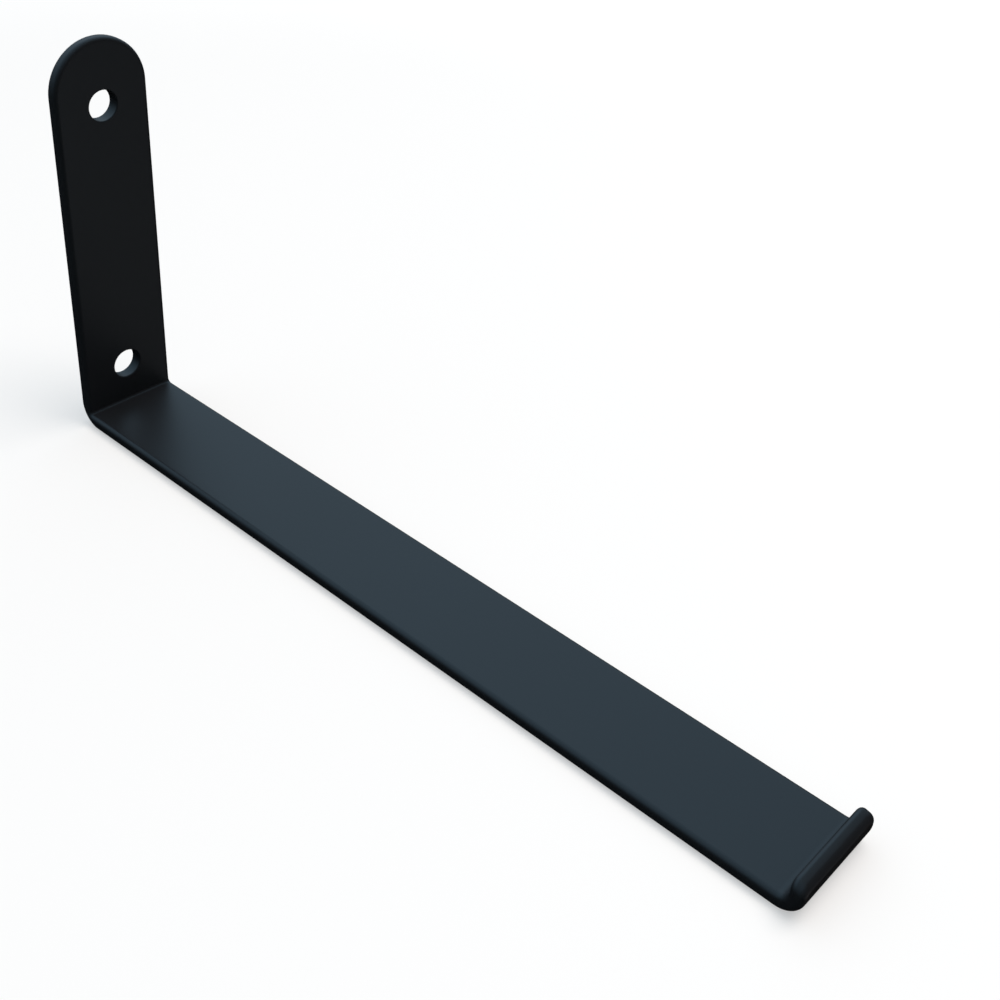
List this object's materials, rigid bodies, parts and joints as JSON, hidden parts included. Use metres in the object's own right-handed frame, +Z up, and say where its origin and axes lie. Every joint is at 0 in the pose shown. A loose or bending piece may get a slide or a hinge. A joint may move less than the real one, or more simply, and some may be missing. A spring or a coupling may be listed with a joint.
{
  "type": "shelf bracket",
  "caption": "L-shaped shelf bracket bent from flat steel bar, with a round-ended wall plate, screw holes and a low lip at the front of the arm.",
  "frame": {"origin": "on the wall plane, midway between the two screw holes", "axes": "+X out from the wall along the arm, +Y across the bar, +Z up the wall plate"},
  "size_m": [0.258, 0.03, 0.12],
  "materials": {
    "powder_coat": "satin black powder coat over steel"
  },
  "bodies": {
    "root": {"bracket": "powder_coat"}
  },
  "joints": []
}
